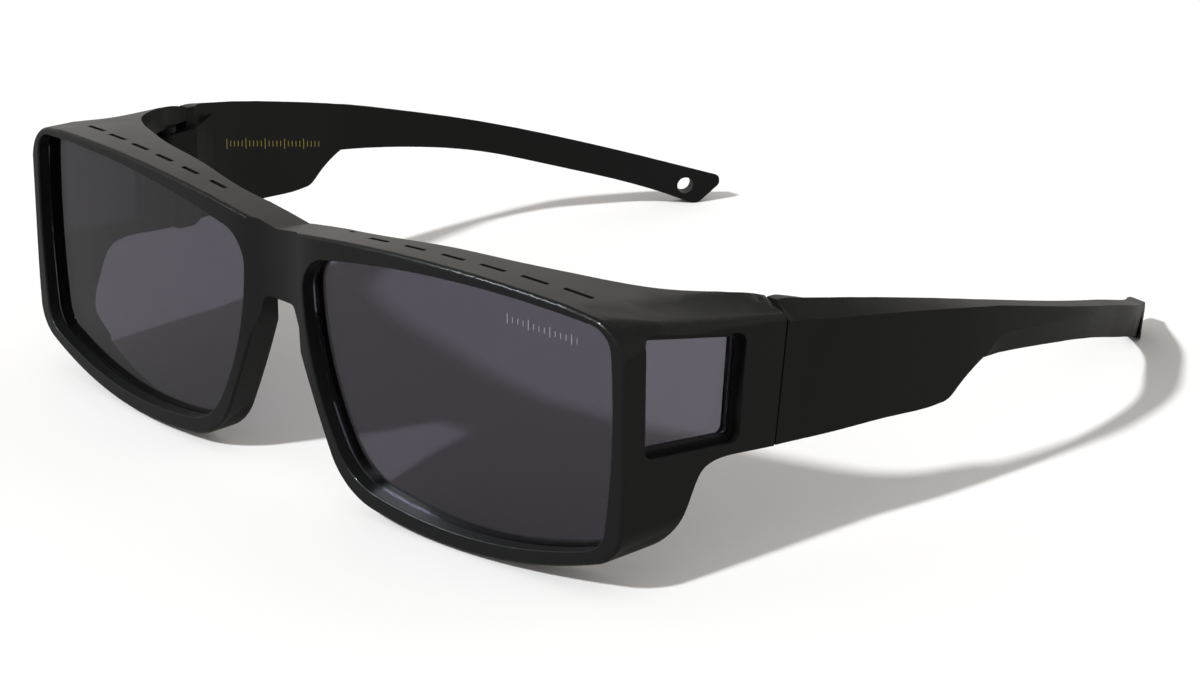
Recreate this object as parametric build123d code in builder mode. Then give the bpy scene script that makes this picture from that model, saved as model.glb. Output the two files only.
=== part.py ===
from build123d import *
import math
import os

os.makedirs("parts", exist_ok=True)

# Driving sizes of the whole object, in millimetres
overall_length = 160.0
lens_width = 62.0
lens_height = 40.4
bridge_width = 15.0
joint_length = 38.0
overrun = 10.0

# Front moulding: curved face and rims
wrap_radius = 444.0
rim_bottom = 3.4
rim_outer = 2.2
rim_depth = 5.6
side_flare = 2.8
bridge_recess = 1.3
bridge_face_inset = 0.9
bridge_floor_inset = 2.8
bridge_rear_inset = 1.9
bridge_depth = 4.3
bridge_rear_share = 0.5
bridge_share = 0.672
nose_inset = 4.0
nose_side_reach = 0.5
nose_side_share = 0.413
nose_corner_radius = 1.2
nose_foot_reach = 8.0
nose_foot_z = 3.2
nose_foot_radius = 13.0
lip_low_share = 0.523
lip_low_z = 0.4
lip_side_rise = 7.22
aperture_edge_radius = 0.3
face_edge_radius = 0.7

# Front moulding: brow shelf, bottom lip and side walls
brow_margin = 2.2
brow_crown_share = 0.586
brow_side_fall = 1.66
brow_fall_share = 0.08
brow_thickness = 2.0
lip_thickness = 2.0
rim_side = 1.9
side_wall = 2.6
side_corner_radius = 6.5
side_ridge_share = 0.457
side_bend_radius = 150.0
hollow_corner_radius = 5.0

# Side window, and its corner points as shares of the window box, from the front crease
window_start = 4.2
window_bottom_share = 0.448
window_height_share = 0.4565
window_corner_shares = [(0.0, 1.0), (1.0, 0.815), (0.945, 0.0), (0.0, 0.085)]
window_corner_radii = [1.6, 2.0, 1.6, 1.5]
window_recess = 1.5
window_ledge = 1.0
ledge_thickness = 0.6
window_boss = 0.9
window_boss_gap = 0.4
window_boss_depth = 4.8
side_lens_thickness = 1.8
side_lens_overlap = 0.5

# Hinge, placed from the side and the joint
hinge_inset = 4.8
hinge_lead = 4.9
hinge_radius = 2.0
block_drop = 8.0
boss_height = 1.0
ear_bottom_share = 0.478
ear_height = 3.2
tongue_gap = 0.3
relief_gap = 0.4
screw_radius = 0.8
screw_head_radius = 1.35
screw_head_height = 1.1
screw_bite = 2.1
screw_gap = 0.1
screw_slot_width = 0.4
screw_slot_depth = 0.5
head_seat_gap = 0.05
ear_bore_gap = 0.05
block_bore_gap = 0.02

# Joint plane between the front and the temples
joint_lean = 5.5
joint_gap = 0.3
joint_crease_drop = 7.1

# Facet along the top of each side, falling outwards and backwards
facet_front_depth = 4.1
facet_rear_overshoot = 2.1
facet_front_inset = 10.7
facet_front_fall = 1.4
facet_rear_inset = 5.2
facet_rear_fall = 3.3
corner_front_radius = 7.0
corner_middle_radius = 3.0
corner_middle_reach = 8.0
corner_rear_radius = 0.8
corner_bite = 0.03

# Vent slots through the brow shelf
slot_count = 6
slot_first_share = 0.273
slot_pitch_share = 0.1077
slot_length = 4.1
slot_growth_share = 0.06
slot_width = 0.95
slot_depth = 4.9
slot_drift = 1.3
notch_reach = 4.1
notch_depth = 6.8
notch_length = 1.3
notch_width = 0.7

# Lenses
lens_thickness = 1.6
lens_recess = 2.3
lens_groove = 0.4
lens_clearance = 0.05

# Temple: outside seen from above, then its top and bottom lines seen from the side,
# as shares of the half width, of the length behind the joint and of the height
temple_thickness = 2.8
temple_lead = 5.0
temple_plan_shares = [
    (1.0215, 0.073), (1.0416, 0.160), (1.055, 0.2516), (1.0644, 0.3336), (1.0631, 0.3852), (1.0523, 0.482),
    (1.0349, 0.5656), (1.004, 0.6459), (0.953, 0.7352), (0.8631, 0.8697), (0.7705, 0.9598), (0.7195, 1.0164),
]
temple_top_shares = [
    (-0.0328, 0.9080), (0.0311, 0.8665), (0.1279, 0.8160), (0.1934, 0.7770), (0.3148, 0.7),
    (0.4852, 0.5761), (0.6484, 0.45), (0.7377, 0.3717), (1.0, 0.1196),
]
temple_tip_share = (1.0, 0.080)
tip_corner_share = 0.71366
temple_low_shares = [
    (0.9648, -0.0059), (0.8697, 0.1087), (0.7467, 0.2261), (0.6279, 0.3326), (0.5172, 0.4043), (0.3615, 0.4761),
]
temple_step_shares = [
    (0.3434, 0.4826), (0.3189, 0.45), (0.2951, 0.4065), (0.2828, 0.3804), (0.2648, 0.3674),
]
temple_front_shares = [(0.2451, 0.3652), (0.1721, 0.3783), (0.0852, 0.3848), (-0.041, 0.3978)]
bevel_drop = 3.1
bevel_end_drop = 0.25
bevel_end_share = 0.38
bevel_steps = 22
band_lean_share = 0.2
band_crease_shares = [
    (0.328, 0.44), (0.382, 0.539), (0.464, 0.509), (0.530, 0.478), (0.610, 0.426),
    (0.673, 0.376), (0.761, 0.296), (0.849, 0.209), (0.944, 0.120),
]
tongue_steps = [(-1.6, 5.9), (3.7, 13.9), (5.9, 13.9), (3.7, 5.9), (2.0, 5.1)]
shoulder_steps = [(-4.8, -3.0), (-4.6, 2.0), (-2.1, 5.2), (0.3, 5.2), (-0.5, -3.0)]
cord_hole_share = (0.9598, 0.0848)
cord_hole_radius = 1.65

# Edges of the brow and the lip behind the face, as shares of the half width and of
# the joint length, then the brow's end as steps in from the side and ahead of the joint
brow_rear_shares = [
    (0.135, 0.208), (0.268, 0.213), (0.416, 0.274), (0.591, 0.339), (0.710, 0.421), (0.824, 0.529),
]
brow_end_steps = [(9.1, 15.0), (6.5, 11.6), (4.3, 7.6), (2.9, 3.8), (2.1, -1.0)]
block_start_step = (6.9, 12.6)
lip_rear_shares = [(0.418, 0.179), (0.600, 0.237), (0.767, 0.311), (0.921, 0.395)]
side_low_shares = [
    (0.368, 0.120), (0.405, 0.157), (0.437, 0.193), (0.461, 0.224), (0.500, 0.289), (0.537, 0.360),
    (0.568, 0.392), (0.603, 0.405), (0.711, 0.411), (0.821, 0.402), (0.932, 0.393), (1.316, 0.383),
]

front_y = -overall_length / 2
temple_tip_y = overall_length / 2
joint_y = front_y + joint_length
lens_inner_x = bridge_width / 2
face_half_width = lens_inner_x + lens_width + rim_outer
joint_half_width = face_half_width + side_flare
half_span = face_half_width + overrun
lens_top_z = rim_bottom + lens_height
brow_top_z = lens_top_z + brow_margin
block_top_z = brow_top_z + overrun
brow_crown_x = face_half_width * brow_crown_share
brow_direction = (0, 1, -brow_fall_share)
brow_radius = (face_half_width - brow_crown_x) ** 2 / (2 * brow_side_fall)
lip_low_x = face_half_width * lip_low_share
lip_radius = (face_half_width - lip_low_x) ** 2 / (2 * lip_side_rise)
bridge_z = brow_top_z * bridge_share
bridge_step_z = brow_top_z * bridge_rear_share
nose_half_width = lens_inner_x - nose_inset
nose_side = (lens_inner_x + nose_side_reach, brow_top_z * nose_side_share)
nose_foot_x = lens_inner_x + nose_foot_reach
side_ridge_z = brow_top_z * side_ridge_share
hinge_x = joint_half_width - hinge_inset
hinge_y = joint_y - hinge_lead
block_bottom_z = brow_top_z - block_drop
boss_bottom_z = block_bottom_z - boss_height
ear_bottom_z = brow_top_z * ear_bottom_share
ear_top_z = ear_bottom_z + ear_height
screw_top_z = block_bottom_z + screw_bite
joint_crease_z = brow_top_z - joint_crease_drop
temple_start_y = joint_y - temple_lead


def front_point(across_share, back_share):
    """A point of the front seen from above: out from the middle, back from the face."""
    return (face_half_width * across_share, front_y + joint_length * back_share)


def brow_end_point(inset, lead):
    """A point near the hinge seen from above: in from the side, ahead of the joint."""
    return (face_half_width - inset, joint_y - lead)


def temple_point(along_share, up_share):
    """A point of the temple seen from the side: behind the joint, up from the floor."""
    return (joint_y + (temple_tip_y - joint_y) * along_share, brow_top_z * up_share)


brow_rear_points = [front_point(*share) for share in brow_rear_shares]
brow_rear_points += [brow_end_point(*step) for step in brow_end_steps]
block_outline = [brow_end_point(*step) for step in (block_start_step, *brow_end_steps[2:])]
block_outline += [(half_span, joint_y + overrun), (half_span, block_outline[0][1])]
lip_rear_points = [front_point(*share) for share in lip_rear_shares]
side_low_points = [
    (front_y + joint_length * back_share, brow_top_z * up_share) for back_share, up_share in side_low_shares
]


def wrap_y(x, depth=0.0):
    """Place of the curved front face, depth behind its surface."""
    return front_y + depth + x * x / (2 * wrap_radius)


def brow_z(x, drop=0.0):
    """Height of the brow's top line, drop below it."""
    return brow_top_z - drop - (x - brow_crown_x) ** 2 / (2 * brow_radius)


def brow_surface_z(x, y):
    """Height of the brow shelf at a place across and along."""
    return brow_z(x, brow_fall_share * (y - front_y))


def lip_z(x, rise=0.0):
    """Height of the bottom line, rise above it."""
    return lip_low_z + rise + (x - lip_low_x) ** 2 / (2 * lip_radius)


def wrap_arc(reach, depth=0.0):
    """Draws the curved face from the middle plane out to reach, at depth."""
    ThreePointArc(
        (0, wrap_y(0, depth)), (reach / 2, wrap_y(reach / 2, depth)), (reach, wrap_y(reach, depth))
    )


def lens_point(across_share, up_share):
    """A point of the lens box: across from the nose, up from the bottom."""
    return (lens_inner_x + lens_width * across_share, rim_bottom + lens_height * up_share)


def side_point(along_share, up_share):
    """A point of the side window box: back from the crease, up from the bottom."""
    place_z = brow_top_z * (window_bottom_share + window_height_share * up_share)
    return (window_start + window_length * along_share, place_z)


# Corner points of the visible lens opening, then the middles of its bowed sides
lens_corner_shares = [(-0.003, 0.898), (0.990, 0.971), (0.974, 0.124), (0.163, 0.059)]
lens_side_shares = [(0.494, 0.998), (1.0, 0.546), (0.568, -0.002), (0.030, 0.456)]
lens_corner_radii = [0.15 * lens_height, 0.10 * lens_height, 0.11 * lens_height, 0.30 * lens_height]


def shifted(points, amount):
    """Points moved by amount to the left of the way the line runs."""
    moved = []
    for index, point in enumerate(points):
        before = Vector(*points[max(index - 1, 0)])
        after = Vector(*points[min(index + 1, len(points) - 1)])
        way = (after - before).normalized()
        moved.append((point[0] - way.Y * amount, point[1] + way.X * amount))
    return moved


lens_corners = [lens_point(*share) for share in lens_corner_shares]
lens_middles = [lens_point(*share) for share in lens_side_shares]
lens_sides = [
    ThreePointArc(lens_corners[index], middle, lens_corners[(index + 1) % len(lens_corners)])
    for index, middle in enumerate(lens_middles)
]


def outward(side, share):
    """Unit direction out of the lens opening at a share of one side."""
    way = side % share
    return Vector(-way.Y, way.X)


def lens_outline(growth):
    """Face of the lens opening, grown outwards by growth, on the XZ plane."""
    corners = []
    middles = []
    for index, side in enumerate(lens_sides):
        before, after = outward(lens_sides[index - 1], 1), outward(side, 0)
        corners.append(Vector(*lens_corners[index]) + (before + after) * (growth / (1 + before.dot(after))))
        middles.append(Vector(*lens_middles[index]) + outward(side, 1 / 2) * growth)
    with BuildSketch(Plane.XZ) as outline:
        with BuildLine():
            for index, middle in enumerate(middles):
                ThreePointArc(corners[index], middle, corners[(index + 1) % len(corners)])
        make_face()
        for corner, radius in zip(corners, lens_corner_radii):
            fillet(outline.vertices().sort_by_distance(corner)[0], radius=radius + growth)
    return outline.sketch


def side_x(y, inset=0.0):
    """Outside of the side wall at a place along the object, inset inwards."""
    share = (y - crease_y) / (joint_y - crease_y)
    return face_half_width + (joint_half_width - face_half_width) * share - inset


def side_bend(reach):
    """How far the side stands in, reach below its ridge."""
    return reach ** 2 / (2 * side_bend_radius)


crease_y = wrap_y(face_half_width)
side_end_y = joint_y + overrun
window_end = joint_y - crease_y - hinge_lead - hinge_radius - window_boss - window_boss_gap
window_length = window_end - window_start
side_plane = Plane(
    origin=(face_half_width, crease_y, 0),
    x_dir=(joint_half_width - face_half_width, joint_y - crease_y, 0),
    z_dir=(joint_y - crease_y, face_half_width - joint_half_width, 0),
)


def facet_section(y, radius):
    """Draws the space above the facet at place y, with the rounded corner under it."""
    front_start, rear_end = front_y + facet_front_depth, joint_y + facet_rear_overshoot
    share = (y - front_start) / (rear_end - front_start)
    front_x, rear_x = face_half_width - facet_front_inset, joint_half_width - facet_rear_inset
    front_z, rear_z = brow_surface_z(front_x, front_start), brow_surface_z(rear_x, rear_end)
    ridge = Vector(front_x + (rear_x - front_x) * share, front_z + (rear_z - front_z) * share)
    crease_fall = facet_front_fall + (facet_rear_fall - facet_front_fall) * share
    crease = Vector(side_x(y), ridge.Y - crease_fall)
    way = (crease - ridge).normalized()
    inner = ridge - way * overrun
    # The arc touches the facet and ends just outside the side wall
    reach = radius * math.tan((math.pi / 2 + math.asin(way.Y)) / 2)
    start = crease - way * reach
    finish = Vector(crease.X + corner_bite, crease.Y - reach)
    far_x, far_z = crease.X + overrun, block_top_z + overrun
    TangentArc(start, finish, tangent=way)
    Line(finish, (far_x, finish.Y))
    Line((far_x, finish.Y), (far_x, far_z))
    Line((far_x, far_z), (inner.X, far_z))
    Line((inner.X, far_z), inner)
    Line(inner, start)


# Outside of one half of the front moulding
with BuildPart() as front_shell:
    with BuildSketch(Plane.XY.offset(-overrun)):
        with BuildLine():
            wrap_arc(face_half_width)
            Line((face_half_width, crease_y), (side_x(side_end_y), side_end_y))
            Line((side_x(side_end_y), side_end_y), (0, side_end_y))
            Line((0, side_end_y), (0, front_y))
        make_face()
    extrude(amount=block_top_z + overrun)
    with BuildSketch(Plane.XZ):
        with BuildLine():
            nose_top = (nose_half_width, bridge_z)
            nose_foot = (nose_foot_x, nose_foot_z)
            Line((0, bridge_z), nose_top)
            ThreePointArc(nose_top, nose_side, nose_foot)
            ThreePointArc(nose_foot, (lip_low_x, lip_low_z), (half_span, lip_z(half_span)))
            Line((half_span, lip_z(half_span)), (half_span, block_top_z))
            Line((half_span, block_top_z), (0, block_top_z))
            Line((0, block_top_z), (0, bridge_z))
        make_face()
    extrude(amount=overall_length, both=True, mode=Mode.INTERSECT)
    # The side bends inwards below its soft ridge
    with BuildSketch(Plane(origin=side_plane.origin, x_dir=side_plane.z_dir, z_dir=-side_plane.x_dir)):
        with BuildLine():
            reach = side_ridge_z + overrun
            low_point, high_point = (-side_bend(reach), -overrun), (0, side_ridge_z)
            ThreePointArc(low_point, (-side_bend(reach / 2), side_ridge_z - reach / 2), high_point)
            Polyline(high_point, (overrun, side_ridge_z), (overrun, -overrun), low_point)
        make_face()
    extrude(amount=overall_length, both=True, mode=Mode.SUBTRACT)
    rear_corner = (joint_half_width, joint_y, lip_z(joint_half_width))
    bottom_side_edge = front_shell.edges().sort_by_distance(rear_corner)[0]
    fillet(bottom_side_edge, radius=side_corner_radius)
    for (place_x, place_z), radius in ((nose_top, nose_corner_radius), (nose_foot, nose_foot_radius)):
        lengthwise_edges = front_shell.edges().filter_by(Axis.Y)
        fillet(lengthwise_edges.sort_by_distance((place_x, joint_y, place_z))[0], radius=radius)
    with BuildSketch(Plane.XZ.offset(-front_y)):
        with BuildLine():
            ThreePointArc((0, brow_z(0)), (brow_crown_x, brow_top_z), (half_span, brow_z(half_span)))
            Line((half_span, brow_z(half_span)), (half_span, -overrun))
            Line((half_span, -overrun), (0, -overrun))
            Line((0, -overrun), (0, brow_z(0)))
        make_face()
    extrude(amount=overall_length, dir=brow_direction, mode=Mode.INTERSECT)
    for section_y, radius in (
        (front_y - overrun, corner_front_radius),
        (crease_y, corner_front_radius),
        (crease_y + corner_middle_reach, corner_middle_radius),
        (side_end_y, corner_rear_radius),
    ):
        with BuildSketch(Plane.XZ.offset(-section_y)):
            with BuildLine():
                facet_section(section_y, radius)
            make_face()
    loft(ruled=True, mode=Mode.SUBTRACT)
    # Round every edge of the face but the one on the middle plane
    face_middle = (brow_crown_x, wrap_y(brow_crown_x), brow_crown_x)
    face_edges = front_shell.faces().sort_by_distance(face_middle)[0].edges()
    face_edges = face_edges.filter_by(lambda edge: edge.center().X > aperture_edge_radius)
    fillet(face_edges, radius=face_edge_radius)

# Upper hinge block, lower hinge ear and window boss, kept inside the hollow
window_corners = [side_point(*share) for share in window_corner_shares]


def window_outline(growth):
    """Side window opening on the side plane, grown outwards by growth."""
    with BuildSketch(side_plane) as outline:
        with BuildLine():
            Polyline(*window_corners, close=True)
        make_face()
        for corner, radius in zip(window_corners, window_corner_radii):
            fillet(outline.vertices().sort_by_distance(corner)[0], radius=radius)
        if growth:
            offset(amount=growth)
    return outline.sketch


def window_slab(growth, start, finish):
    """Window outline grown by growth, from depth start to depth finish."""
    face = window_outline(growth).moved(Location(side_plane.z_dir * -start))
    return extrude(face, amount=start - finish, mode=Mode.PRIVATE)


with BuildPart() as front_hollow:
    with BuildSketch(Plane.XY.offset(-overrun)):
        with BuildLine():
            inner_x = face_half_width - rim_side
            inner_y = wrap_y(inner_x, rim_depth)
            rear_x = side_x(side_end_y, side_wall)
            wrap_arc(inner_x, rim_depth)
            Line((inner_x, inner_y), (rear_x, side_end_y + overrun))
            Line((rear_x, side_end_y + overrun), (-overrun, side_end_y + overrun))
            Line((-overrun, side_end_y + overrun), (-overrun, wrap_y(0, rim_depth)))
            Line((-overrun, wrap_y(0, rim_depth)), (0, wrap_y(0, rim_depth)))
        make_face()
    extrude(amount=block_top_z + overrun)
    with BuildSketch(Plane.XZ):
        with BuildLine():
            top_z = block_top_z
            nose_z = lip_z(nose_foot_x, lip_thickness)
            lip_low = (lip_low_x, lip_z(lip_low_x, lip_thickness))
            lip_end = (half_span, lip_z(half_span, lip_thickness))
            ThreePointArc((nose_foot_x, nose_z), lip_low, lip_end)
            Line(lip_end, (half_span, top_z))
            Line((half_span, top_z), (-overrun, top_z))
            Line((-overrun, top_z), (-overrun, nose_z))
            Line((-overrun, nose_z), (nose_foot_x, nose_z))
        make_face()
    extrude(amount=overall_length, both=True, mode=Mode.INTERSECT)
    hollow_corner = (side_x(joint_y, side_wall), joint_y, lip_z(joint_half_width, lip_thickness))
    fillet(front_hollow.edges().sort_by_distance(hollow_corner)[0], radius=hollow_corner_radius)
    with BuildSketch(Plane.XZ.offset(-front_y)):
        with BuildLine():
            drop = brow_thickness
            ThreePointArc(
                (-overrun, brow_z(-overrun, drop)),
                (brow_crown_x, brow_z(brow_crown_x, drop)),
                (half_span, brow_z(half_span, drop)),
            )
            Line((half_span, brow_z(half_span, drop)), (half_span, -overrun))
            Line((half_span, -overrun), (-overrun, -overrun))
            Line((-overrun, -overrun), (-overrun, brow_z(-overrun, drop)))
        make_face()
    extrude(amount=overall_length, dir=brow_direction, mode=Mode.INTERSECT)
    # Upper hinge block
    with BuildSketch(Plane.XY.offset(block_bottom_z)):
        with BuildLine():
            Polyline(*block_outline, close=True)
        make_face()
    extrude(amount=block_top_z, mode=Mode.SUBTRACT)
    # Room for the tongue beside the hinge axis
    with BuildSketch(Plane.XY.offset(ear_bottom_z)):
        with Locations((hinge_x, hinge_y)):
            Circle(hinge_radius + relief_gap)
            Rectangle(2 * (hinge_radius + relief_gap), joint_length, align=(Align.CENTER, Align.MIN))
    extrude(amount=block_bottom_z - ear_bottom_z)
    # Boss under the block and the lower ear, both round the hinge axis
    for low_z, high_z in ((boss_bottom_z, block_bottom_z), (ear_bottom_z, ear_top_z)):
        with BuildSketch(Plane.XY.offset(low_z)):
            with Locations((hinge_x, hinge_y)):
                Circle(hinge_radius)
                Rectangle(half_span, 2 * hinge_radius, align=(Align.MIN, Align.CENTER))
        extrude(amount=high_z - low_z, mode=Mode.SUBTRACT)
    # Thicker band round the side window
    add(window_slab(window_boss, 0, window_boss_depth), mode=Mode.SUBTRACT)


def joint_edge_y(z, gap=0.0):
    """Place of the leaning joint plane at height z, moved back by gap."""
    return joint_y + (z - joint_crease_z) * math.tan(math.radians(joint_lean)) + gap


def lens_prism(growth, depth):
    """Lens opening grown by growth, cut straight back to depth behind the face."""
    face = lens_outline(growth).moved(Location((0, front_y - overrun, 0)))
    return extrude(face, amount=-(overrun + depth), mode=Mode.PRIVATE)


def lens_blank(growth, margin):
    """Curved lens plate of outline growth, thicker by margin on both faces."""
    front_depth = lens_recess - margin
    rear_depth = lens_recess + lens_thickness + margin
    with BuildPart() as blank:
        with BuildSketch(Plane.XY.offset(-overrun)):
            with BuildLine():
                for depth in (front_depth, rear_depth):
                    wrap_arc(half_span, depth)
                for place_x in (0, half_span):
                    Line((place_x, wrap_y(place_x, front_depth)), (place_x, wrap_y(place_x, rear_depth)))
            make_face()
        extrude(amount=block_top_z + overrun)
        add(lens_prism(growth, joint_length), mode=Mode.INTERSECT)
    return blank.part


# One half of the front moulding
groove_blank = lens_blank(lens_groove, lens_clearance)
with BuildPart() as front_half:
    add(front_shell.part)
    add(front_hollow.part, mode=Mode.SUBTRACT)
    # Space behind the rear edge of the brow
    with BuildSketch(Plane.XY.offset(block_bottom_z)):
        with BuildLine():
            first, last = brow_rear_points[0], brow_rear_points[-1]
            Spline(*brow_rear_points)
            Line((-overrun, first[1]), first)
            Line(last, (last[0], side_end_y + overrun))
            Line((last[0], side_end_y + overrun), (-overrun, side_end_y + overrun))
            Line((-overrun, side_end_y + overrun), (-overrun, first[1]))
        make_face()
    extrude(amount=block_top_z, mode=Mode.SUBTRACT)
    with BuildSketch(Plane.XY):
        with Locations((0, joint_y)):
            Rectangle(2 * brow_crown_x, joint_length, align=(Align.CENTER, Align.CENTER))
    extrude(amount=block_top_z, mode=Mode.SUBTRACT)
    # Space behind the rear edge of the bottom lip
    with BuildSketch(Plane.XY.offset(-overrun)):
        with BuildLine():
            lip_start = (nose_foot_x, wrap_y(nose_foot_x, rim_depth))
            Spline(lip_start, *lip_rear_points)
            Line((-overrun, lip_start[1]), lip_start)
            Line(lip_rear_points[-1], (half_span, side_end_y))
            Line((half_span, side_end_y), (-overrun, side_end_y))
            Line((-overrun, side_end_y), (-overrun, lip_start[1]))
        make_face()
    extrude(amount=overrun + side_low_points[0][1], mode=Mode.SUBTRACT)
    # Space under the side shield
    with BuildSketch(Plane.YZ):
        with BuildLine():
            start, finish = side_low_points[0], side_low_points[-1]
            Spline(*side_low_points)
            Line(finish, (finish[0], -overrun))
            Line((finish[0], -overrun), (start[0], -overrun))
            Line((start[0], -overrun), start)
        make_face()
    extrude(amount=half_span + overrun, mode=Mode.SUBTRACT)
    # Lens opening, its rounded edge, and the groove that holds the lens
    add(lens_prism(0, wrap_y(lens_inner_x + lens_width, rim_depth) - front_y), mode=Mode.SUBTRACT)
    holed_faces = front_half.faces().filter_by(lambda face: len(face.inner_wires()) == 1)
    face = holed_faces.sort_by(Axis.Y)[0]
    fillet(face.inner_wires()[0].edges(), radius=aperture_edge_radius)
    add(groove_blank, mode=Mode.SUBTRACT)
    # Shallow recess across the bridge face, and the thinner bridge behind it
    with BuildSketch(Plane.XY.offset(-overrun)):
        with BuildLine():
            recess_y = front_y + bridge_recess
            face_x, floor_x = lens_inner_x - bridge_face_inset, lens_inner_x - bridge_floor_inset
            Polyline(
                (-overrun, front_y - overrun), (face_x, front_y - overrun), (face_x, front_y),
                (floor_x, recess_y), (-overrun, recess_y), close=True,
            )
        make_face()
    extrude(amount=block_top_z + overrun, mode=Mode.SUBTRACT)
    with BuildSketch(Plane.XY.offset(bridge_step_z)):
        with Locations((0, front_y + bridge_depth)):
            bridge_rear_half = lens_inner_x - bridge_rear_inset
            Rectangle(2 * bridge_rear_half, overrun, align=(Align.CENTER, Align.MIN))
    extrude(amount=block_bottom_z - bridge_step_z, mode=Mode.SUBTRACT)
    # Vent slots
    with BuildSketch(Plane.XY.offset(block_bottom_z)):
        for index in range(slot_count):
            slot_x = face_half_width * (slot_first_share + slot_pitch_share * index)
            lean = math.degrees(math.asin(slot_x / wrap_radius))
            slot_back = slot_depth + slot_drift * (index / (slot_count - 1)) ** 2
            with Locations(Location((slot_x, wrap_y(slot_x, slot_back)), lean)):
                Rectangle(slot_length * (1 + slot_growth_share * index), slot_width)
    extrude(amount=block_top_z, mode=Mode.SUBTRACT)
    # Side window: outer recess, through opening, and the pocket for the side lens
    add(window_slab(0, -overrun, window_recess), mode=Mode.SUBTRACT)
    add(window_slab(-window_ledge, -overrun, window_boss_depth + overrun), mode=Mode.SUBTRACT)
    pocket_growth = side_lens_overlap - window_ledge + lens_clearance
    pocket_depth = window_recess + ledge_thickness
    add(window_slab(pocket_growth, pocket_depth, window_boss_depth + overrun), mode=Mode.SUBTRACT)
    # Screw holes through the ear and up into the block
    for low_z, high_z, radius in (
        (ear_bottom_z, ear_bottom_z + screw_head_height + screw_gap, screw_head_radius + head_seat_gap),
        (ear_bottom_z, ear_top_z, screw_radius + ear_bore_gap),
        (boss_bottom_z, screw_top_z + screw_gap, screw_radius + block_bore_gap),
    ):
        with BuildSketch(Plane.XY.offset(low_z)):
            with Locations((hinge_x, hinge_y)):
                Circle(radius)
        extrude(amount=high_z - low_z, mode=Mode.SUBTRACT)
    # End at the joint plane
    with BuildSketch(Plane.YZ):
        with BuildLine():
            low_y, high_y = joint_edge_y(-overrun, -joint_gap / 2), joint_edge_y(block_top_z, -joint_gap / 2)
            Polyline((low_y, -overrun), (high_y, block_top_z), (0, block_top_z), (0, -overrun), close=True)
        make_face()
    extrude(amount=half_span + overrun, mode=Mode.SUBTRACT)

# Front moulding
with BuildPart() as front_frame:
    add(front_half.part)
    mirror(about=Plane.YZ)
    with BuildSketch(Plane.XY.offset(block_bottom_z)):
        with Locations((lens_inner_x + notch_reach, front_y + notch_depth)):
            Ellipse(notch_length / 2, notch_width / 2)
    extrude(amount=block_top_z, mode=Mode.SUBTRACT)
front_frame.part.label = "front_frame"
export_step(front_frame.part, "parts/front_frame.step")

# Main lens
with BuildPart() as lens_left:
    add(lens_blank(lens_groove - lens_clearance, 0))
lens_left.part.label = "lens_left"
export_step(lens_left.part, "parts/lens_left.step")

with BuildPart() as lens_right:
    add(lens_left.part.mirror(Plane.YZ))
lens_right.part.label = "lens_right"
export_step(lens_right.part, "parts/lens_right.step")

# Side lens
with BuildPart() as side_lens_left:
    side_lens_depth = window_recess + ledge_thickness + lens_clearance
    side_lens_growth = side_lens_overlap - window_ledge
    add(window_slab(side_lens_growth, side_lens_depth, side_lens_depth + side_lens_thickness))
side_lens_left.part.label = "side_lens_left"
export_step(side_lens_left.part, "parts/side_lens_left.step")

with BuildPart() as side_lens_right:
    add(side_lens_left.part.mirror(Plane.YZ))
side_lens_right.part.label = "side_lens_right"
export_step(side_lens_right.part, "parts/side_lens_right.step")

# Hinge screw, entered from below
with BuildPart() as hinge_screw_left:
    head_top_z = ear_bottom_z + screw_head_height
    with BuildSketch(Plane.XY.offset(ear_bottom_z)):
        with Locations((hinge_x, hinge_y)):
            Circle(screw_head_radius)
    extrude(amount=screw_head_height)
    with BuildSketch(Plane.XY.offset(head_top_z)):
        with Locations((hinge_x, hinge_y)):
            Circle(screw_radius)
    extrude(amount=screw_top_z - head_top_z)
    with BuildSketch(Plane.XY.offset(ear_bottom_z)):
        with Locations((hinge_x, hinge_y)):
            Rectangle(screw_slot_width, 2 * screw_head_radius)
    extrude(amount=screw_slot_depth, mode=Mode.SUBTRACT)
hinge_screw_left.part.label = "hinge_screw_left"
export_step(hinge_screw_left.part, "parts/hinge_screw_left.step")

with BuildPart() as hinge_screw_right:
    add(hinge_screw_left.part.mirror(Plane.YZ))
hinge_screw_right.part.label = "hinge_screw_right"
export_step(hinge_screw_right.part, "parts/hinge_screw_right.step")

# Temple: curved band seen from above, cut to its side outline
temple_plan = [(side_x(temple_start_y), temple_start_y), (joint_half_width, joint_y)]
for across_share, along_share in temple_plan_shares:
    temple_plan.append((joint_half_width * across_share, temple_point(along_share, 0)[0]))
temple_top_points = [temple_point(*share) for share in temple_top_shares]
temple_low_points = [temple_point(*share) for share in temple_low_shares]
temple_step_points = [temple_point(*share) for share in temple_step_shares]
temple_front_points = [temple_point(*share) for share in temple_front_shares]
temple_outer_line = Spline(*temple_plan)
temple_top_line = Spline(*[(place_z, place_y) for place_y, place_z in temple_top_points])


def place_at(line, y):
    """Place where a line that runs backwards reaches y, or would if it went on straight."""
    low, high = 0.0, 1.0
    for _ in range(30):
        middle = (low + high) / 2
        if (line @ middle).Y < y:
            low = middle
        else:
            high = middle
    end, way = line @ low, line % low
    return end + way * ((y - end.Y) / way.Y)


cord_y, cord_z = temple_point(*cord_hole_share)
cord_at = place_at(temple_outer_line, cord_y)
cord_before = place_at(temple_outer_line, cord_y - temple_thickness)
cord_after = place_at(temple_outer_line, cord_y + temple_thickness)
cord_way = cord_after - cord_before
cord_plane = Plane(origin=(cord_at.X, cord_y, cord_z), z_dir=(cord_way.Y, -cord_way.X, 0))


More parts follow.
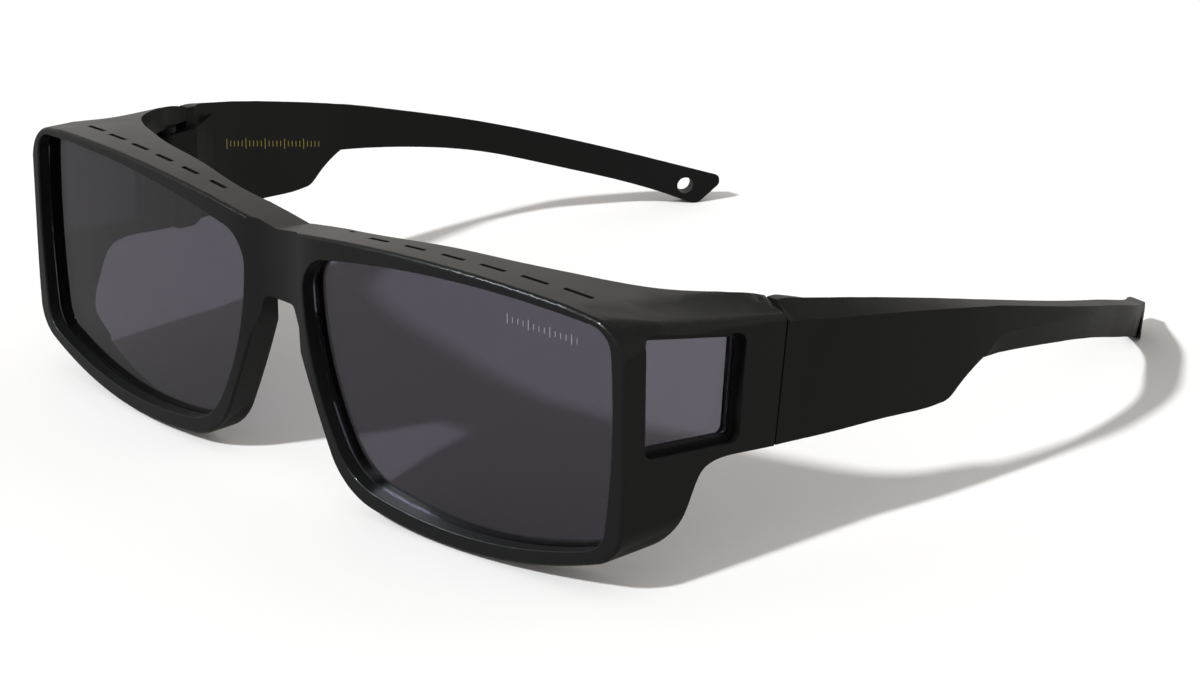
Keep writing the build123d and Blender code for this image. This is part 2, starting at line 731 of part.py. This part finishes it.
with BuildPart() as temple_left:
    with BuildSketch(Plane.XY.offset(-overrun)):
        with BuildLine():
            inner_plan = shifted(temple_plan, temple_thickness)
            Spline(*temple_plan)
            Spline(*inner_plan)
            Line(temple_plan[0], inner_plan[0])
            Line(temple_plan[-1], inner_plan[-1])
        make_face()
    extrude(amount=block_top_z + overrun)
    # Thicker shoulder at the joint
    with BuildSketch(Plane.XY.offset(-overrun)):
        with BuildLine():
            shoulder = [(joint_half_width + step_x, joint_y + step_y) for step_x, step_y in shoulder_steps]
            Polyline(*shoulder, close=True)
        make_face()
    extrude(amount=block_top_z + overrun)
    with BuildSketch(Plane.YZ):
        with BuildLine():
            tip_point = temple_point(*temple_tip_share)
            tip_corner_radius = tip_corner_share * (temple_top_points[-1][1] - tip_point[1])
            Spline(*temple_top_points)
            Line(temple_top_points[-1], tip_point)
            Line(tip_point, temple_low_points[0])
            Spline(*temple_low_points, temple_step_points[0])
            Spline(*temple_step_points)
            Spline(temple_step_points[-1], *temple_front_points)
            Line(temple_front_points[-1], temple_top_points[0])
        make_face()
        fillet(vertices().sort_by(Axis.X)[-3:], radius=tip_corner_radius)
    extrude(amount=half_span + overrun, mode=Mode.INTERSECT)
    with BuildSketch(Plane.YZ):
        with BuildLine():
            low_y = joint_edge_y(-overrun, joint_gap / 2)
            high_y = joint_edge_y(block_top_z, joint_gap / 2)
            joint_line = [(low_y, -overrun), (high_y, block_top_z)]
            Polyline(*joint_line, (front_y, block_top_z), (front_y, -overrun), close=True)
        make_face()
    extrude(amount=half_span + overrun, mode=Mode.SUBTRACT)
    # The top slants down to the outside, less and less towards the back
    for step in range(bevel_steps):
        along_share = step / (bevel_steps - 1)
        place_y = temple_start_y + (temple_tip_y + temple_lead - temple_start_y) * along_share
        fade = max(0, 1 - (place_y - joint_y) / (bevel_end_share * (temple_tip_y - joint_y)))
        drop = bevel_end_drop + (bevel_drop - bevel_end_drop) * fade
        with BuildSketch(Plane.XZ.offset(-place_y)):
            with BuildLine():
                outer_x = place_at(temple_outer_line, place_y).X
                top_z = place_at(temple_top_line, place_y).X
                fall = drop / temple_thickness
                left_x, right_x = outer_x - temple_thickness - overrun, outer_x + overrun
                left_z, right_z = top_z + fall * overrun, top_z - drop - fall * overrun
                far_z = block_top_z + overrun
                Polyline((left_x, left_z), (right_x, right_z), (right_x, far_z), (left_x, far_z), close=True)
            make_face()
    loft(ruled=True, mode=Mode.SUBTRACT)
    # Lower part of the outside leans inwards behind the step
    for along_share, up_share in band_crease_shares:
        place_y, place_z = temple_point(along_share, up_share)
        with BuildSketch(Plane.XZ.offset(-place_y)):
            with BuildLine():
                outer_x = place_at(temple_outer_line, place_y).X
                lean = band_lean_share * overrun
                high_z, low_z = place_z + overrun, place_z - overrun
                high_x, low_x = outer_x + lean, outer_x - lean
                far_x = outer_x + overrun
                Polyline((high_x, high_z), (low_x, low_z), (far_x, low_z), (far_x, high_z), close=True)
            make_face()
    loft(ruled=True, mode=Mode.SUBTRACT)
    # Hinge tongue on the inner side, with its bore
    with BuildSketch(Plane.XY.offset(ear_top_z + tongue_gap)):
        with Locations((hinge_x, hinge_y)):
            Circle(hinge_radius)
        with BuildLine():
            tongue_points = [(hinge_x + step_x, hinge_y + step_y) for step_x, step_y in tongue_steps]
            tongue_start, tongue_end = (hinge_x - hinge_radius, hinge_y), (hinge_x + hinge_radius, hinge_y)
            Polyline(tongue_start, *tongue_points, tongue_end, close=True)
        make_face()
    extrude(amount=boss_bottom_z - ear_top_z - 2 * tongue_gap)
    with BuildSketch(Plane.XY.offset(ear_top_z)):
        with Locations((hinge_x, hinge_y)):
            Circle(screw_radius + ear_bore_gap)
    extrude(amount=boss_bottom_z - ear_top_z, mode=Mode.SUBTRACT)
    # Cord hole through the tip, square to its outer face
    with BuildSketch(cord_plane):
        Circle(cord_hole_radius)
    extrude(amount=overrun, both=True, mode=Mode.SUBTRACT)
temple_left.part.label = "temple_left"
export_step(temple_left.part, "parts/temple_left.step")

with BuildPart() as temple_right:
    add(temple_left.part.mirror(Plane.YZ))
temple_right.part.label = "temple_right"
export_step(temple_right.part, "parts/temple_right.step")
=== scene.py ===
import math

import bmesh
import bpy
from mathutils import Matrix, Vector
from mathutils.bvhtree import BVHTree


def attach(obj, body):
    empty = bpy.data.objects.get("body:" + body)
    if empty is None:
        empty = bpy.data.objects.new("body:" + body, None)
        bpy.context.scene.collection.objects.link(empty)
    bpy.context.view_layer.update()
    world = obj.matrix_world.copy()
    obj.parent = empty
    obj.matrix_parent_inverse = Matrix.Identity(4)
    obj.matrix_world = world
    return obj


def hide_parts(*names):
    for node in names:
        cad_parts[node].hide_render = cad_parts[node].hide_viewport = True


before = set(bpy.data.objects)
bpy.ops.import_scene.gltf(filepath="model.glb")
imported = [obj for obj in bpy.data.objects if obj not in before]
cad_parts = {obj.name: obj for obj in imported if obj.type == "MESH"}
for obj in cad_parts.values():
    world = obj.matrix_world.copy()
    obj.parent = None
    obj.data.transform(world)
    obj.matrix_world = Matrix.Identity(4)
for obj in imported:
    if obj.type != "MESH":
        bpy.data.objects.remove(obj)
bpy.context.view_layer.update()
print("frame loaded")

mm = 0.001


# Shader helpers

def newMaterial(name):
    material = bpy.data.materials.new(name)
    material.use_nodes = True
    nodes = material.node_tree.nodes
    return material, nodes, material.node_tree.links, nodes["Principled BSDF"]


def addNode(nodes, kind, **settings):
    node = nodes.new(kind)
    for key, value in settings.items():
        setattr(node, key, value)
    return node


# Fine moulded grain: varies colour, roughness and height over the surface

grainPlan = {"fineDetail": 3, "cloudDetail": 4, "cloudLow": 0.3, "cloudHigh": 0.7, "depth": 0.02}


def buildMouldGrain():
    group = bpy.data.node_groups.new("mouldGrain", "ShaderNodeTree")
    face = group.interface
    inward = {"Grain Scale": "Float", "Cloud Scale": "Float", "Roughness Low": "Float", "Roughness High": "Float",
              "Dark": "Color", "Light": "Color"}
    outward = {"Color": "Color", "Roughness": "Float", "Height": "Float"}
    for way, sockets in (("INPUT", inward), ("OUTPUT", outward)):
        for name, kind in sockets.items():
            face.new_socket(name=name, in_out=way, socket_type="NodeSocket" + kind)
    nodes, links = group.nodes, group.links
    enter = nodes.new("NodeGroupInput")
    leave = nodes.new("NodeGroupOutput")
    place = nodes.new("ShaderNodeTexCoord")
    fine = addNode(nodes, "ShaderNodeTexNoise", noise_dimensions="3D")
    fine.inputs["Detail"].default_value = grainPlan["fineDetail"]
    cloud = addNode(nodes, "ShaderNodeTexNoise", noise_dimensions="3D")
    cloud.inputs["Detail"].default_value = grainPlan["cloudDetail"]
    spread = nodes.new("ShaderNodeMapRange")
    tint = addNode(nodes, "ShaderNodeMix", data_type="RGBA")
    links.new(place.outputs["Object"], fine.inputs["Vector"])
    links.new(place.outputs["Object"], cloud.inputs["Vector"])
    links.new(enter.outputs["Grain Scale"], fine.inputs["Scale"])
    links.new(enter.outputs["Cloud Scale"], cloud.inputs["Scale"])
    links.new(cloud.outputs["Fac"], spread.inputs["Value"])
    spread.inputs["From Min"].default_value = grainPlan["cloudLow"]
    spread.inputs["From Max"].default_value = grainPlan["cloudHigh"]
    links.new(enter.outputs["Roughness Low"], spread.inputs["To Min"])
    links.new(enter.outputs["Roughness High"], spread.inputs["To Max"])
    links.new(cloud.outputs["Fac"], tint.inputs["Factor"])
    links.new(enter.outputs["Dark"], tint.inputs["A"])
    links.new(enter.outputs["Light"], tint.inputs["B"])
    links.new(tint.outputs["Result"], leave.inputs["Color"])
    links.new(spread.outputs["Result"], leave.inputs["Roughness"])
    links.new(fine.outputs["Fac"], leave.inputs["Height"])
    return group


mouldGrain = buildMouldGrain()


def plastic(name, look):
    material, nodes, links, shader = newMaterial(name)
    grain = nodes.new("ShaderNodeGroup")
    grain.node_tree = mouldGrain
    grain.inputs["Grain Scale"].default_value = look["grainScale"]
    grain.inputs["Cloud Scale"].default_value = look["cloudScale"]
    grain.inputs["Roughness Low"].default_value = look["roughness"][0]
    grain.inputs["Roughness High"].default_value = look["roughness"][1]
    grain.inputs["Dark"].default_value = (*look["dark"], 1)
    grain.inputs["Light"].default_value = (*look["light"], 1)
    bump = nodes.new("ShaderNodeBump")
    bump.inputs["Strength"].default_value = look["bump"]
    bump.inputs["Distance"].default_value = grainPlan["depth"] * mm
    links.new(grain.outputs["Color"], shader.inputs["Base Color"])
    links.new(grain.outputs["Roughness"], shader.inputs["Roughness"])
    links.new(grain.outputs["Height"], bump.inputs["Height"])
    links.new(bump.outputs["Normal"], shader.inputs["Normal"])
    shader.inputs["Specular IOR Level"].default_value = look["specular"]
    shader.inputs["Coat Weight"].default_value = look["coat"]
    shader.inputs["Coat Roughness"].default_value = look["coatRoughness"]
    return material


def noiseTint(nodes, links, shader, look, scale):
    place = nodes.new("ShaderNodeTexCoord")
    cloud = addNode(nodes, "ShaderNodeTexNoise", noise_dimensions="3D")
    cloud.inputs["Scale"].default_value = scale
    tint = addNode(nodes, "ShaderNodeMix", data_type="RGBA")
    tint.inputs["A"].default_value = (*look["dark"], 1)
    tint.inputs["B"].default_value = (*look["light"], 1)
    links.new(place.outputs["Object"], cloud.inputs["Vector"])
    links.new(cloud.outputs["Fac"], tint.inputs["Factor"])
    links.new(tint.outputs["Result"], shader.inputs["Base Color"])


def tintedPane(name, look):
    material, nodes, links, shader = newMaterial(name)
    noiseTint(nodes, links, shader, look, look["hazeScale"])
    shader.inputs["Transmission Weight"].default_value = 1
    shader.inputs["Roughness"].default_value = look["roughness"]
    shader.inputs["IOR"].default_value = look["ior"]
    return material


def printInk(name, look):
    material, nodes, links, shader = newMaterial(name)
    noiseTint(nodes, links, shader, look, look["wornScale"])
    shader.inputs["Metallic"].default_value = look["metallic"]
    shader.inputs["Roughness"].default_value = look["roughness"]
    return material


def steel(name, look):
    material, nodes, links, shader = newMaterial(name)
    place = nodes.new("ShaderNodeTexCoord")
    turned = addNode(nodes, "ShaderNodeTexNoise", noise_dimensions="3D")
    turned.inputs["Scale"].default_value = look["scale"]
    spread = nodes.new("ShaderNodeMapRange")
    spread.inputs["To Min"].default_value = look["roughness"][0]
    spread.inputs["To Max"].default_value = look["roughness"][1]
    links.new(place.outputs["Object"], turned.inputs["Vector"])
    links.new(turned.outputs["Fac"], spread.inputs["Value"])
    links.new(spread.outputs["Result"], shader.inputs["Roughness"])
    shader.inputs["Base Color"].default_value = (*look["color"], 1)
    shader.inputs["Metallic"].default_value = 1
    return material


looks = {
    "front": {"grainScale": 2600, "cloudScale": 70, "roughness": (0.30, 0.37), "bump": 0.2,
              "dark": (0.0062, 0.0067, 0.0066), "light": (0.0086, 0.0092, 0.0090), "specular": 0.09,
              "coat": 0.18, "coatRoughness": 0.12},
    "temple": {"grainScale": 2600, "cloudScale": 70, "roughness": (0.36, 0.44), "bump": 0.25,
               "dark": (0.0044, 0.0048, 0.0047), "light": (0.0062, 0.0067, 0.0065), "specular": 0.19,
               "coat": 0.0, "coatRoughness": 0.12},
    "lens": {"hazeScale": 20, "dark": (0.068, 0.063, 0.084), "light": (0.073, 0.067, 0.089),
             "roughness": 0.02, "ior": 1.5},
    "sideLens": {"hazeScale": 40, "dark": (0.100, 0.093, 0.117), "light": (0.106, 0.099, 0.123),
                 "roughness": 0.03, "ior": 1.5},
    "lensMark": {"wornScale": 900, "dark": (0.20, 0.20, 0.21), "light": (0.34, 0.34, 0.35),
                 "metallic": 0.0, "roughness": 0.6},
    "goldInk": {"wornScale": 900, "dark": (0.34, 0.24, 0.03), "light": (0.52, 0.38, 0.06),
                "metallic": 0.0, "roughness": 0.5},
    "screw": {"scale": 3000, "color": (0.45, 0.45, 0.46), "roughness": (0.25, 0.45)},
}

materials = {
    "front": plastic("frontPlastic", looks["front"]),
    "temple": plastic("templePlastic", looks["temple"]),
    "lens": tintedPane("lensTint", looks["lens"]),
    "sideLens": tintedPane("sideLensTint", looks["sideLens"]),
    "lensMark": printInk("lensMarkInk", looks["lensMark"]),
    "goldInk": printInk("templeGoldInk", looks["goldInk"]),
    "screw": steel("screwSteel", looks["screw"]),
}
print("materials ready")


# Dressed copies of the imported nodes, merged and smooth shaded

dressing = {
    "front_frame": {"piece": "frontMoulding", "material": "front", "slot": "front_plastic",
                    "body": "front", "angle": 32},
    "lens_left": {"piece": "lensLeft", "material": "lens", "slot": "lens_tint",
                  "body": "front", "angle": 40},
    "lens_right": {"piece": "lensRight", "material": "lens", "slot": "lens_tint",
                   "body": "front", "angle": 40},
    "side_lens_left": {"piece": "sideLensLeft", "material": "sideLens", "slot": "side_lens_tint",
                       "body": "front", "angle": 40},
    "side_lens_right": {"piece": "sideLensRight", "material": "sideLens", "slot": "side_lens_tint",
                        "body": "front", "angle": 40},
    "temple_left": {"piece": "templeLeft", "material": "temple", "slot": "temple_plastic",
                    "body": "temple_left", "angle": 9},
    "temple_right": {"piece": "templeRight", "material": "temple", "slot": "temple_plastic",
                     "body": "temple_right", "angle": 9},
    "hinge_screw_left": {"piece": "screwLeft", "material": "screw", "slot": "hinge_steel",
                         "body": "front", "angle": 40},
    "hinge_screw_right": {"piece": "screwRight", "material": "screw", "slot": "hinge_steel",
                          "body": "front", "angle": 40},
}


# Flat and wide faces keep their own direction and narrow rounded ones follow them. Faces near the middle
# that look forward, on the bridge and on the lenses' inner ends, shade as one surface bent across.
# half, step and blur are in mm, ahead and level bound the normals of such faces

evening = {"soft": 6, "wide": 1.5}
bridge = {"half": 17, "step": 1.1, "blur": 3.2, "ahead": -0.8, "level": 0.4}


def evenNormals(mesh, sharp):
    faces = mesh.polygons
    around = [[] for _ in mesh.vertices]
    breadths = []
    for face in faces:
        corners = [mesh.vertices[index].co for index in face.vertices]
        rim = sum((corner - corners[turn - 1]).length for turn, corner in enumerate(corners))
        breadths.append(2 * face.area / rim if rim else 0)
        for index in face.vertices:
            around[index].append(face.index)
    sharpLimit, softLimit = math.cos(math.radians(sharp)), math.cos(math.radians(evening["soft"]))
    ways = [face.normal.copy() for face in faces]
    bent = [abs(face.center.x) < bridge["half"] * mm and face.normal.y < bridge["ahead"]
            and abs(face.normal.z) < bridge["level"] for face in faces]
    bends = [face for face in faces if bent[face.index]]
    bridgeWays = {}

    def bridgeWay(across):
        place = round(across / mm, 1)
        if place not in bridgeWays:
            weights = [face.area * math.exp(-((face.center.x / mm - place) / bridge["blur"]) ** 2)
                       for face in bends]
            total = sum((ways[face.index] * weight for face, weight in zip(bends, weights)), Vector())
            bridgeWays[place] = total.normalized()
        return bridgeWays[place]

    normals = []
    for face in faces:
        for index in face.vertices:
            if bent[face.index]:
                normals.append(bridgeWay(mesh.vertices[index].co.x))
                continue
            near = [other for other in around[index] if ways[face.index].dot(ways[other]) > sharpLimit]
            broad = [other for other in near if breadths[other] > evening["wide"] * mm]
            if broad:
                lead = max(broad, key=lambda other: ways[face.index].dot(ways[other]))
                near = [other for other in broad if ways[lead].dot(ways[other]) > softLimit]
            total = sum((ways[other] * faces[other].area for other in near), Vector())
            normals.append(total.normalized() if total.length else ways[face.index])
    mesh.shade_smooth()
    mesh.normals_split_custom_set(normals)


# The tops of the moulding and of the temples round off where they meet, up to brinkSpan times the reach

brinkSpan = 2
brinks = {
    "front_frame": {"start": -46.8, "end": -42.0, "low": 40.6, "drop": 0.85, "cuts": 5},
    "temple_left": {"start": -38.6, "end": -42.2, "low": 38.4, "drop": 0.55, "cuts": 4},
}
brinks["temple_right"] = brinks["temple_left"]


def cutAcross(shape, place, axis):
    parts = shape.verts[:] + shape.edges[:] + shape.faces[:]
    way = Vector([1 if index == axis else 0 for index in range(3)])
    bmesh.ops.bisect_plane(shape, geom=parts, plane_co=way * place, plane_no=way)


def roundBrink(shape, brink):
    reach = brink["end"] - brink["start"]
    for cut in range(brink["cuts"]):
        cutAcross(shape, (brink["start"] + reach * cut / brink["cuts"]) * mm, 1)
    for vert in shape.verts:
        share = (vert.co.y / mm - brink["start"]) / reach
        if 0 < share < brinkSpan and vert.co.z > brink["low"] * mm:
            vert.co.z -= brink["drop"] * mm * min(share, 1) ** 2


# Upright strips over the bridge, so that its bends shade softly

def stripBridge(shape):
    count = int(bridge["half"] / bridge["step"])
    for index in range(-count, count + 1):
        cutAcross(shape, bridge["step"] * index * mm, 0)


cleaning = {"merge": 0.002, "flat": 0.3}


def dressNode(nodeName, plan):
    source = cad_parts[nodeName]
    mesh = source.data.copy()
    mesh.name = plan["piece"]
    mesh.materials.clear()
    mesh.materials.append(materials[plan["material"]])
    shape = bmesh.new()
    shape.from_mesh(mesh)
    bmesh.ops.remove_doubles(shape, verts=shape.verts, dist=cleaning["merge"] * mm)
    bmesh.ops.dissolve_limit(
        shape, angle_limit=math.radians(cleaning["flat"]), verts=shape.verts, edges=shape.edges,
        delimit={"NORMAL"})
    if nodeName in brinks:
        roundBrink(shape, brinks[nodeName])
    if nodeName == "front_frame":
        stripBridge(shape)
    shape.to_mesh(mesh)
    shape.free()
    piece = bpy.data.objects.new(plan["piece"], mesh)
    bpy.context.scene.collection.objects.link(piece)
    evenNormals(mesh, plan["angle"])
    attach(piece, plan["body"])
    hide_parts(nodeName)
    return piece


pieces = {name: dressNode(name, plan) for name, plan in dressing.items()}
print("pieces dressed", len(pieces))


# Rows of plain ticks where the lens and the inside of one temple are marked

shortTick = 0.55
marks = {
    "lensTicks": {"node": "lens_left", "body": "front", "slot": "lens_tint", "material": "lensMark",
                  "start": (48.4, -90.0, 39.55), "step": (1.0, 0, -0.045), "count": 14,
                  "aim": (0, 1, 0), "size": (0.14, 0.06, 1.6), "turn": 7.1, "every": 4},
    "templeTicks": {"node": "temple_right", "body": "temple_right", "slot": "temple_plastic",
                    "material": "goldInk", "start": (-60.0, -29.8, 30.2), "step": (0, 1.0, -0.232),
                    "count": 25, "aim": (-1, 0, 0), "size": (0.06, 0.2, 2.0), "turn": 5.5, "every": 5},
}


def buildTickTree():
    tree = bpy.data.node_groups.new("tickRow", "GeometryNodeTree")
    face = tree.interface
    face.new_socket(name="Geometry", in_out="INPUT", socket_type="NodeSocketGeometry")
    size = face.new_socket(name="Tick Size", in_out="INPUT", socket_type="NodeSocketVector")
    turn = face.new_socket(name="Turn", in_out="INPUT", socket_type="NodeSocketVector")
    every = face.new_socket(name="Tall Every", in_out="INPUT", socket_type="NodeSocketInt")
    ink = face.new_socket(name="Ink", in_out="INPUT", socket_type="NodeSocketMaterial")
    face.new_socket(name="Geometry", in_out="OUTPUT", socket_type="NodeSocketGeometry")
    nodes, links = tree.nodes, tree.links
    enter = nodes.new("NodeGroupInput")
    leave = nodes.new("NodeGroupOutput")
    bar = nodes.new("GeometryNodeMeshCube")
    scatter = nodes.new("GeometryNodeInstanceOnPoints")
    index = nodes.new("GeometryNodeInputIndex")
    wrap = addNode(nodes, "ShaderNodeMath", operation="MODULO")
    small = addNode(nodes, "ShaderNodeMath", operation="MINIMUM")
    small.inputs[1].default_value = 1
    height = nodes.new("ShaderNodeMapRange")
    height.inputs["To Min"].default_value = 1
    height.inputs["To Max"].default_value = shortTick
    scale = nodes.new("ShaderNodeCombineXYZ")
    scale.inputs["X"].default_value = 1
    scale.inputs["Y"].default_value = 1
    whole = nodes.new("GeometryNodeRealizeInstances")
    paint = nodes.new("GeometryNodeSetMaterial")
    links.new(enter.outputs["Geometry"], scatter.inputs["Points"])
    links.new(enter.outputs["Tick Size"], bar.inputs["Size"])
    links.new(bar.outputs["Mesh"], scatter.inputs["Instance"])
    links.new(enter.outputs["Turn"], scatter.inputs["Rotation"])
    links.new(index.outputs["Index"], wrap.inputs[0])
    links.new(enter.outputs["Tall Every"], wrap.inputs[1])
    links.new(wrap.outputs["Value"], small.inputs[0])
    links.new(small.outputs["Value"], height.inputs["Value"])
    links.new(height.outputs["Result"], scale.inputs["Z"])
    links.new(scale.outputs["Vector"], scatter.inputs["Scale"])
    links.new(scatter.outputs["Instances"], whole.inputs["Geometry"])
    links.new(whole.outputs["Geometry"], paint.inputs["Geometry"])
    links.new(enter.outputs["Ink"], paint.inputs["Material"])
    links.new(paint.outputs["Geometry"], leave.inputs["Geometry"])
    inputs = {"size": size, "turn": turn, "every": every, "ink": ink}
    return tree, {key: socket.identifier for key, socket in inputs.items()}


tickTree, tickInputs = buildTickTree()


def markRow(name, plan):
    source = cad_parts[plan["node"]].data
    surface = BVHTree.FromPolygons(
        [vertex.co for vertex in source.vertices], [face.vertices for face in source.polygons])
    start, step, aim = (Vector(plan[key]) for key in ("start", "step", "aim"))
    places = [surface.ray_cast((start + step * index) * mm, aim)[0] for index in range(plan["count"])]
    points = bpy.data.meshes.new(name + "Places")
    points.from_pydata(places, [], [])
    carrier = bpy.data.objects.new(name + "Carrier", points)
    bpy.context.scene.collection.objects.link(carrier)
    row = carrier.modifiers.new("ticks", "NODES")
    row.node_group = tickTree
    row[tickInputs["size"]] = [length * mm for length in plan["size"]]
    row[tickInputs["turn"]] = (0, 0, math.radians(plan["turn"]))
    row[tickInputs["every"]] = plan["every"]
    row[tickInputs["ink"]] = materials[plan["material"]]
    evaluated = carrier.evaluated_get(bpy.context.evaluated_depsgraph_get())
    mesh = bpy.data.meshes.new_from_object(evaluated)
    bpy.data.objects.remove(carrier)
    mesh.name = name
    piece = bpy.data.objects.new(name, mesh)
    bpy.context.scene.collection.objects.link(piece)
    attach(piece, plan["body"])


for name, plan in marks.items():
    markRow(name, plan)
print("marks placed")


# Floor, world, lamps and camera. The floor looks white but bounces less light, as the world does

room = {"floorHalf": 3.0, "floorSeen": (0.985, 0.985, 0.985), "floorBounce": (0.40, 0.395, 0.39),
        "floorRoughness": 0.9, "floorSpecular": 0.1, "worldColor": (1.0, 0.965, 0.925),
        "worldLow": 0.70, "worldHigh": 0.37, "worldFade": (0.45, 0.80)}


def buildFloor():
    half = room["floorHalf"]
    mesh = bpy.data.meshes.new("floor")
    corners = [(-half, -half, 0), (half, -half, 0), (half, half, 0), (-half, half, 0)]
    mesh.from_pydata(corners, [], [(0, 1, 2, 3)])
    floor = bpy.data.objects.new("floor", mesh)
    bpy.context.scene.collection.objects.link(floor)
    material, nodes, links, shader = newMaterial("paleFloor")
    path = nodes.new("ShaderNodeLightPath")
    seen = addNode(nodes, "ShaderNodeMath", operation="MAXIMUM")
    pale = addNode(nodes, "ShaderNodeMix", data_type="RGBA")
    pale.inputs["A"].default_value = (*room["floorBounce"], 1)
    pale.inputs["B"].default_value = (*room["floorSeen"], 1)
    links.new(path.outputs["Is Camera Ray"], seen.inputs[0])
    links.new(path.outputs["Is Transmission Ray"], seen.inputs[1])
    links.new(seen.outputs["Value"], pale.inputs["Factor"])
    links.new(pale.outputs["Result"], shader.inputs["Base Color"])
    shader.inputs["Roughness"].default_value = room["floorRoughness"]
    shader.inputs["Specular IOR Level"].default_value = room["floorSpecular"]
    mesh.materials.append(material)


def buildWorld():
    world = bpy.data.worlds.new("studio")
    bpy.context.scene.world = world
    world.use_nodes = True
    nodes, links = world.node_tree.nodes, world.node_tree.links
    nodes.clear()
    output = nodes.new("ShaderNodeOutputWorld")
    light = nodes.new("ShaderNodeBackground")
    light.inputs["Color"].default_value = (*room["worldColor"], 1)
    place = nodes.new("ShaderNodeTexCoord")
    parts = nodes.new("ShaderNodeSeparateXYZ")
    fade = addNode(nodes, "ShaderNodeMapRange", interpolation_type="SMOOTHSTEP")
    for name, value in zip(("From Min", "From Max"), room["worldFade"]):
        fade.inputs[name].default_value = value
    fade.inputs["To Min"].default_value = room["worldLow"]
    fade.inputs["To Max"].default_value = room["worldHigh"]
    links.new(place.outputs["Generated"], parts.inputs["Vector"])
    links.new(parts.outputs["Z"], fade.inputs["Value"])
    links.new(fade.outputs["Result"], light.inputs["Strength"])
    seen = nodes.new("ShaderNodeBackground")
    seen.inputs["Color"].default_value = (1, 1, 1, 1)
    seen.inputs["Strength"].default_value = 1
    path = nodes.new("ShaderNodeLightPath")
    mix = nodes.new("ShaderNodeMixShader")
    links.new(path.outputs["Is Camera Ray"], mix.inputs["Fac"])
    links.new(light.outputs["Background"], mix.inputs[1])
    links.new(seen.outputs["Background"], mix.inputs[2])
    links.new(mix.outputs["Shader"], output.inputs["Surface"])


# Key from the front, and one from the wearer's right that shows in reflections only

lamps = {
    "key": {"from": (-0.06, -1.0, 0.86), "spread": 4.0, "strength": 2.95,
            "color": (0.975, 0.99, 1.0), "lights": True},
    "edge": {"from": (-0.49, -0.64, 0.60), "spread": 16.0, "strength": 2.4,
             "color": (0.86, 0.93, 1.0), "lights": False},
}


def buildLamp(name, plan):
    data = bpy.data.lights.new(name, "SUN")
    data.angle = math.radians(plan["spread"])
    data.energy = plan["strength"]
    data.color = plan["color"]
    lamp = bpy.data.objects.new(name, data)
    bpy.context.scene.collection.objects.link(lamp)
    lamp.visible_diffuse = plan["lights"]
    lamp.location = plan["from"]
    lamp.rotation_euler = (-Vector(plan["from"])).to_track_quat("-Z", "Y").to_euler()


buildFloor()
buildWorld()
for name, plan in lamps.items():
    buildLamp(name, plan)

viewpoint = {"azimuth": 44.6244, "elevation": 20.3338, "roll": 0.5295, "place": (364.868, -376.216, 198.368),
             "lens": 94.5, "sensor": 36, "nearest": 0.01}


def buildCamera():
    azimuth, elevation, roll = (math.radians(viewpoint[key]) for key in ("azimuth", "elevation", "roll"))
    level = math.cos(elevation)
    back = Vector((math.sin(azimuth) * level, -math.cos(azimuth) * level, math.sin(elevation)))
    right = Vector((math.cos(azimuth), math.sin(azimuth), 0))
    up = back.cross(right)
    across = right * math.cos(roll) + up * math.sin(roll)
    over = up * math.cos(roll) - right * math.sin(roll)
    data = bpy.data.cameras.new("camera")
    data.lens = viewpoint["lens"]
    data.sensor_width = viewpoint["sensor"]
    data.clip_start = viewpoint["nearest"]
    camera = bpy.data.objects.new("camera", data)
    bpy.context.scene.collection.objects.link(camera)
    turn = Matrix((across, over, back)).transposed().to_4x4()
    camera.matrix_world = Matrix.Translation(Vector(viewpoint["place"]) * mm) @ turn
    bpy.context.scene.camera = camera


buildCamera()
bpy.context.scene.view_settings.view_transform = "Standard"
print("stage ready")
